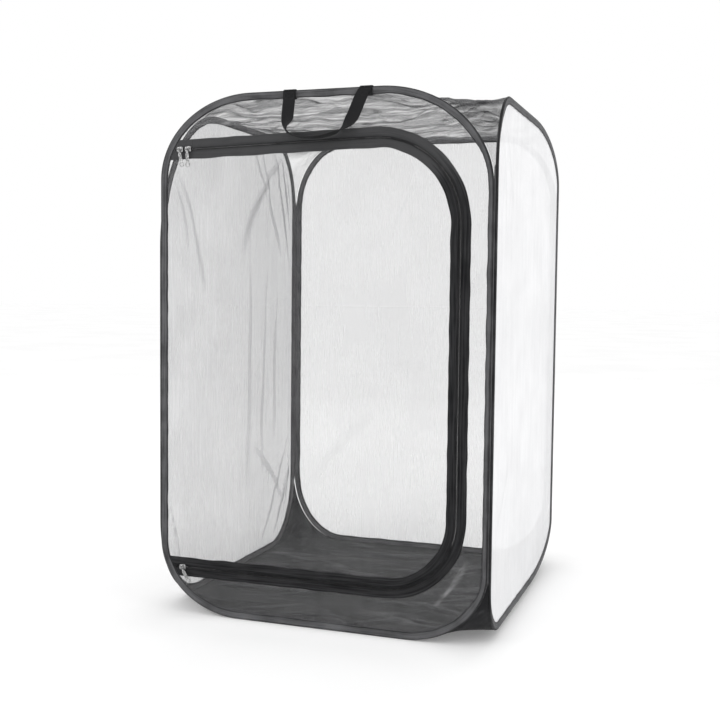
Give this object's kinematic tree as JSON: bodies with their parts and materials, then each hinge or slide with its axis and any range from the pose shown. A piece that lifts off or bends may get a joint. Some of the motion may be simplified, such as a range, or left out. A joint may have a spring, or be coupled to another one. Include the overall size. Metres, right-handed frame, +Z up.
{
  "type": "insect cage",
  "caption": "Tall pop-up insect cage with sprung mesh walls, a slack net top, a cloth floor, a zipped D-shaped front door and a webbing carry strap; it racks flat at its corner seams.",
  "frame": {"origin": "on the underside of the floor cloth, midway between the four upright fold lines", "axes": "+Z up, the front wall with its door faces -Y, +X to the right as seen from the front"},
  "size_m": [0.6, 0.6238, 0.9015],
  "materials": {
    "binding_tape": "matt woven binding tape",
    "spring_steel": "plain drawn wire",
    "ferrule_steel": "crimped tube",
    "wall_net": "fine light polyester net",
    "door_net": "fine clear polyester net",
    "top_net": "soft dark polyester net",
    "floor_fabric": "thin black polyester cloth",
    "zip_tape": "woven zip tape",
    "zip_coil": "nylon coil",
    "slider_metal": "bright nickel plate",
    "strap_webbing": "black woven webbing"
  },
  "bodies": {
    "front": {"front_sleeve": "binding_tape", "front_hoop_wire": "spring_steel", "front_wire_ferrule": "ferrule_steel", "front_net": "wall_net", "frame_zip_tape": "zip_tape", "frame_zip_coil": "zip_coil", "left_strap_wrap": "strap_webbing", "right_strap_wrap": "strap_webbing", "top_net": "top_net", "floor_cloth": "floor_fabric"},
    "left": {"left_sleeve": "binding_tape", "left_hoop_wire": "spring_steel", "left_wire_ferrule": "ferrule_steel", "left_net": "wall_net"},
    "right": {"right_sleeve": "binding_tape", "right_hoop_wire": "spring_steel", "right_wire_ferrule": "ferrule_steel", "right_net": "wall_net"},
    "rear": {"rear_sleeve": "binding_tape", "rear_hoop_wire": "spring_steel", "rear_wire_ferrule": "ferrule_steel", "rear_net": "wall_net"},
    "door": {"door_net": "door_net", "door_zip_tape": "zip_tape", "door_zip_coil": "zip_coil", "upper_parked_coil": "zip_coil", "lower_parked_coil": "zip_coil"},
    "left_slider": {"left_slider": "slider_metal"},
    "right_slider": {"right_slider": "slider_metal"},
    "lower_slider": {"lower_slider": "slider_metal"},
    "left_pull": {"left_pull": "slider_metal"},
    "right_pull": {"right_pull": "slider_metal"},
    "lower_pull": {"lower_pull": "slider_metal"},
    "carry_strap": {"carry_strap": "strap_webbing"}
  },
  "joints": [
    {"name": "right_fold", "type": "hinge", "parent": "front", "child": "right", "pos_m": [0.29485, -0.29485, 0], "axis": [0, 0, -1], "range_deg": [0, 85], "stiffness_Nm_per_rad": 0.4, "deforming": ["floor_cloth", "top_net"]},
    {"name": "left_fold", "type": "hinge", "parent": "front", "child": "left", "pos_m": [-0.29485, -0.29485, 0], "axis": [0, 0, -1], "range_deg": [0, 85]},
    {"name": "rear_fold", "type": "hinge", "parent": "right", "child": "rear", "pos_m": [0.29485, 0.29485, 0], "axis": [0, 0, 1], "range_deg": [0, 85]},
    {"name": "door_swing", "type": "hinge", "parent": "front", "child": "door", "pos_m": [-0.2814, -0.29895, 0.45], "axis": [0, 0, -1], "range_deg": [0, 150]},
    {"name": "left_slider_run", "type": "slide", "parent": "door", "child": "left_slider", "axis": [0.9997, 0, 0.0261], "range_m": [0, 0.155]},
    {"name": "right_slider_run", "type": "slide", "parent": "left_slider", "child": "right_slider", "axis": [0.9997, 0, 0.0261], "range_m": [0, 0.17]},
    {"name": "lower_slider_run", "type": "slide", "parent": "door", "child": "lower_slider", "axis": [1, 0, 0], "range_m": [0, 0.355]},
    {"name": "left_pull_swing", "type": "hinge", "parent": "left_slider", "child": "left_pull", "pos_m": [-0.256, -0.30505, 0.80901], "axis": [-0.9997, 0, -0.0261], "range_deg": [0, 100]},
    {"name": "right_pull_swing", "type": "hinge", "parent": "right_slider", "child": "right_pull", "pos_m": [-0.2405, -0.30505, 0.80941], "axis": [-0.9997, 0, -0.0261], "range_deg": [0, 100]},
    {"name": "lower_pull_swing", "type": "hinge", "parent": "lower_slider", "child": "lower_pull", "pos_m": [-0.2507, -0.30505, 0.082], "axis": [-1, 0, 0], "range_deg": [0, 100]},
    {"name": "strap_swing", "type": "hinge", "parent": "front", "child": "carry_strap", "pos_m": [0, -0.3025, 0.8975], "axis": [-1, 0, 0], "range_deg": [0, 180]}
  ],
  "couplings": [
    {"joint": "left_fold", "follows": "right_fold", "ratio": 1},
    {"joint": "rear_fold", "follows": "right_fold", "ratio": 1}
  ]
}
